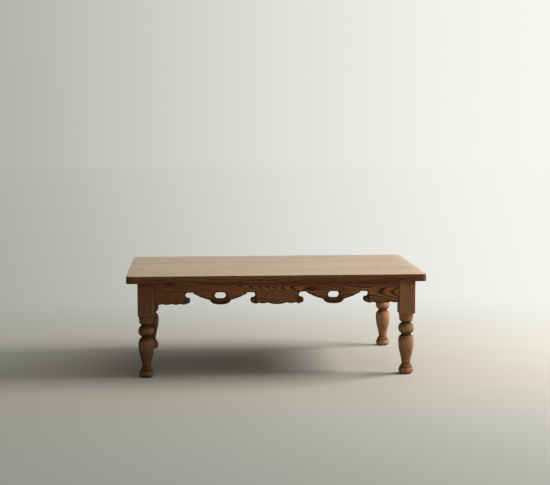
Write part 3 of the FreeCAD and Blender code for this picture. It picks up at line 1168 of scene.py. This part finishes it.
# %% Colour of the grain
old_finish_and_shade = (0.022, 0.010, 0.005, 1)
redder = (1.10, 0.92, 0.86, 1)
yellower = (0.94, 1.04, 1.02, 1)
ring_middle = 0.6
clear_waves, clear_range, clear_shares = (3.5, 32), (0.34, 0.66), (0.3, 1.2)
hue_waves, hue_range = (4, 34), (0.38, 0.62)
fibre_waves, fibre_tones = (16, 520), (0.74, 1.2)
strand_waves, area_waves, wide_range = (7, 170), (1.7, 9), (0.3, 0.7)
pore_waves, pore_range = (55, 1500), (0.56, 0.68)
porous_part, dense_pores = (0.45, 0.05), 0.15


def grain_colour(tree, laid, ring, pale, dark, contrast):
    # The rings are clear in some places and faint in others
    least, most = [share * contrast for share in clear_shares]
    clear = slope(tree, vary(tree, laid, *clear_waves), *clear_range, least, most)
    light = calc(tree, "MULTIPLY_ADD", calc(tree, "SUBTRACT", ring, ring_middle), clear, ring_middle)
    return blend(tree, light, dark, pale)


def tone(tree, laid, colour, fibre, tinting, strandiness, unevenness):
    hue = slope(tree, vary(tree, laid, *hue_waves, detail=3.0), *hue_range)
    colour = blend(tree, tinting, colour, blend(tree, hue, redder, yellower), "MULTIPLY")
    streaky = slope(tree, fibre, *wide_range, *fibre_tones, "LINEAR")
    strand = vary(tree, laid, *strand_waves)
    strand = slope(tree, strand, *wide_range, 1 - strandiness, 1 + strandiness, "LINEAR")
    colour = blend(tree, 1.0, colour, calc(tree, "MULTIPLY", streaky, strand), "MULTIPLY")
    area = slope(tree, vary(tree, laid, *area_waves), *wide_range, 1 - unevenness, 1 + unevenness, "LINEAR")
    return blend(tree, 1.0, colour, area, "MULTIPLY")


def open_pores(tree, laid, phase):
    # Many in the porous start of a ring, and few in its dense end
    pore = slope(tree, vary(tree, laid, *pore_waves, detail=1.0), *pore_range)
    crowd = calc(tree, "MULTIPLY_ADD", slope(tree, phase, *porous_part), 1 - dense_pores, dense_pores)
    return calc(tree, "MULTIPLY", pore, crowd)


# %% Wear
bare_wood = (1.35, 1.55, 1.95)
patch_waves = (28, 90)
rubbed_range, rubbed_most = (0.32, 0.62), 0.6
dirt_and_shade_range, dirt_and_shade_most = (0.75, 0.3, 0.6, 1.0), 0.9
shade_most = 0.75


def tinted(colour, tone):
    return tuple(share * value for share, value in zip(tone, colour)) + (1,)


def wear(tree, laid, colour, pale):
    # The painted numbers, broken up into patches. Bare wood is paler and less red than finished wood.
    # Dirt and painted shade turn it towards old finish.
    patch = vary(tree, laid, *patch_waves, detail=4.0, roughness=0.65)
    bare = calc(tree, "MULTIPLY", painted(tree, "rubbed"), slope(tree, patch, *rubbed_range))
    colour = blend(tree, calc(tree, "MULTIPLY", bare, rubbed_most), colour, tinted(pale, bare_wood))
    shade = calc(tree, "MULTIPLY", painted(tree, "shade"), shade_most)
    dark = calc(tree, "MAXIMUM", painted(tree, "hollow"), shade)
    dirt_and_shade_mask = calc(tree, "MULTIPLY", dark, slope(tree, patch, *dirt_and_shade_range))
    return blend(tree, calc(tree, "MULTIPLY", dirt_and_shade_mask, dirt_and_shade_most), colour, old_finish_and_shade), dirt_and_shade_mask


# %% [markdown]
# One function lays all this together. Its defaults are a plain finished board, and each piece changes what
# is different about it: the width of its rings, how wild its trunk grew, how strong its grain shows, and how
# rough or shiny its surface is. Fibres, gathered dirt and painted shade make it rougher, and pores are tiny
# dents.

# %% The wood itself
fibre_rough = 0.14
dirt_and_shade_rough = 0.25
ring_relief = 0.35
fibre_relief = 0.25


def wood(name, grain, heart, pale, dark, ring_width=4.0 * MM, bend=14 * MM, bend_waves=(3.2, 5), taper=0.0,
         swelling=0.0, swelling_length=1.0, slant=(0.0, 0.0), contrast=0.8, tinting=1.0, strandiness=0.25,
         unevenness=0.16, pore_depth=0.6, roughness=0.45, shine=0.2):
    made = bpy.data.materials.new(name)
    tree = empty_tree(made)
    laid = lay_in_tree(tree, grain, heart, slant)
    phase = rings(tree, laid, ring_width, bend, bend_waves, taper, swelling, swelling_length)
    ring = ramp(tree, phase, ring_shades)
    fibre = vary(tree, laid, *fibre_waves, detail=3.0, roughness=0.6)
    pores = open_pores(tree, laid, phase)
    colour = grain_colour(tree, laid, ring, pale, dark, contrast)
    colour = tone(tree, laid, colour, fibre, tinting, strandiness, unevenness)
    colour = blend(tree, calc(tree, "MULTIPLY", pores, pore_depth), colour, old_finish_and_shade)
    colour, dirt_and_shade_mask = wear(tree, laid, colour, pale)
    rough = slope(tree, fibre, *wide_range, kind="LINEAR")
    rough = calc(tree, "MULTIPLY_ADD", rough, fibre_rough, roughness - fibre_rough / 2)
    rough = calc(tree, "MULTIPLY_ADD", dirt_and_shade_mask, dirt_and_shade_rough, rough)
    height = calc(tree, "MULTIPLY_ADD", pores, -1.0, calc(tree, "MULTIPLY", ring, ring_relief))
    height = calc(tree, "MULTIPLY_ADD", fibre, fibre_relief, height)
    surface(tree, {"Base Color": colour, "Roughness": rough, "Specular IOR Level": shine},
            Strength=0.5, Distance=0.35 * MM, Height=height)
    return made


# %% [markdown]
# The boards of the top come from one trunk, each laid in it at another place. They are as brown as the
# frame, but the upper face has been waxed and wiped for years: its pores are filled, its grain has less
# contrast, and at a low angle it mirrors the pale wall softly. That is why it looks so much lighter than
# the edge. So each board gets two finishes from one trunk, and the faces that look up take the waxed one.

# %% Finish the top
edge_pale = (0.185, 0.073, 0.025, 1)
edge_dark = (0.05, 0.019, 0.007, 1)
waxed_pale = (0.44, 0.272, 0.108, 1)
waxed_dark = (0.33, 0.195, 0.074, 1)
board_hearts = ((-0.3, -0.24, 0.33), (-1.7, -0.05, 0.31), (-2.9, 0.27, 0.345))
looks_up = 0.85
for board, heart in zip(boards, board_hearts):
    edge = wood(board.name + "_edge", "X", heart, edge_pale, edge_dark, shine=0.12)
    face = wood(board.name + "_face", "X", heart, waxed_pale, waxed_dark, contrast=0.5, tinting=0.25,
                strandiness=0.08, unevenness=0.14, pore_depth=0.2, roughness=0.28, shine=0.6)
    finish_with(board, edge, face)
    for side in board.data.polygons:
        side.material_index = 1 if side.normal.z > looks_up else 0
print("waxed faces of the middle board", sum(side.material_index for side in boards[1].data.polygons))

# %% [markdown]
# The legs come from offcuts. Each lies beside the heart of its own tree and has its own tone. That tone also
# holds painted light: the legs on the right, near the window, are painted lighter, and those on the left darker.

# %% Finish the legs
leg_pale = (0.255, 0.120, 0.050, 1)
leg_dark = (0.095, 0.040, 0.0155, 1)
# The last numbers of a row scale the leg's colour: its own tone and painted window light together
leg_stock = {
    "leg_front_right": (75, 30, 1.3, (1.50, 1.44, 1.42)),
    "leg_front_left": (60, 70, 0.7, (0.77, 0.655, 0.63)),
    "leg_back_right": (80, 40, 1.6, (1.78, 1.84, 1.88)),
    "leg_back_left": (50, 75, 0.9, (0.92, 0.84, 0.82)),
}
for leg in legs:
    name = leg.name.replace("_dressed", "")
    low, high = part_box(name)
    sideways, back, along, strength = leg_stock[name]
    heart = ((low.x + high.x) / 2 + sideways * MM, (low.y + high.y) / 2 + back * MM, along)
    pale, dark = tinted(leg_pale, strength), tinted(leg_dark, strength)
    finish_with(leg, wood(leg.name + "_wood", "Z", heart, pale, dark, ring_width=5.2 * MM, bend=8 * MM,
                          bend_waves=(6, 11), contrast=1.2, roughness=0.6, shine=0.18))

# %% [markdown]
# The aprons were sawn close to the heart of a quickly grown trunk, so their rings are wide and strong.

# %% Finish the aprons
apron_pale = (0.330, 0.130, 0.048, 1)
apron_dark = (0.064, 0.0200, 0.0068, 1)
apron_slant = (-0.045, -0.05)
apron_stock = {
    "apron_front": ("X", (-1.1375, -0.3850, 0.3864), apron_slant),
    "apron_back": ("X", (-1.4, 0.330, 0.33), (0.0, 0.0)),
    "apron_left": ("Y", (-0.44, -1.2, 0.33), apron_slant),
    "apron_right": ("Y", (0.45, 0.6, 0.33), apron_slant),
}
for node, (grain, heart, slant) in apron_stock.items():
    piece = aprons[node][0]
    finish_with(piece, wood(piece.name + "_wood", grain, heart, apron_pale, apron_dark, ring_width=7.0 * MM,
                            bend=5 * MM, bend_waves=(6, 12), taper=0.13, swelling=15 * MM,
                            swelling_length=0.55, slant=slant, contrast=1.55, shine=0.12))
print("materials", len(bpy.data.materials))

# %% [markdown]
# ## The pieces inside
# Bearers, buttons, corner blocks and tongues keep their shapes. They are planed softwood that nobody sees,
# left bare and browned by dust. The screws are old steel with a brown film.

# %% Finish the pieces inside
inner_pale = (0.36, 0.235, 0.125, 1)
inner_dark = (0.235, 0.14, 0.068, 1)
inner_heart = (-0.4, -0.03, 0.29)
steel_bright = (0.30, 0.28, 0.25, 1)
steel_brown = (0.13, 0.065, 0.032, 1)
film_waves, film_range = (420, 420), (0.42, 0.62)
film_metal, film_rough = (0.95, 0.1), (0.38, 0.8)


def old_steel():
    made = bpy.data.materials.new("old_steel")
    tree = empty_tree(made)
    film = slope(tree, vary(tree, own_place(tree), *film_waves, detail=4.0), *film_range)
    surface(tree, {
        "Base Color": blend(tree, film, steel_bright, steel_brown),
        "Metallic": slope(tree, film, 0.0, 1.0, *film_metal),
        "Roughness": slope(tree, film, 0.0, 1.0, *film_rough),
    }, Strength=0.4, Distance=0.1 * MM, Height=film)
    return made


inner_woods = {grain: wood("inner_wood_" + grain, grain, inner_heart, inner_pale, inner_dark,
                           ring_width=2.6 * MM, roughness=0.66) for grain in "XY"}
steel = old_steel()
for name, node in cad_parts.items():
    grain = "Y" if name.startswith(("bearer", "button_front", "button_back")) else "X"
    finish_with(node, steel if name.endswith("screws") else inner_woods[grain])

# %% [markdown]
# ## Attach the pieces
# Each dressed piece rides on the table's one body and stands in for its construction node, which is hidden.
# Soft shading runs over the curves and stops at the arrises.

# %% Ride, replace and shade
soft_angle = math.radians(35)
dressed = boards + legs + [piece for piece, outward in aprons.values()]
for piece in dressed:
    node = piece.name.replace("_dressed", "")
    work_on(piece)
    bpy.ops.object.shade_smooth_by_angle(angle=soft_angle)
    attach(piece, "root")
    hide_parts(node)
start_alone()
print("dressed pieces", len(dressed))
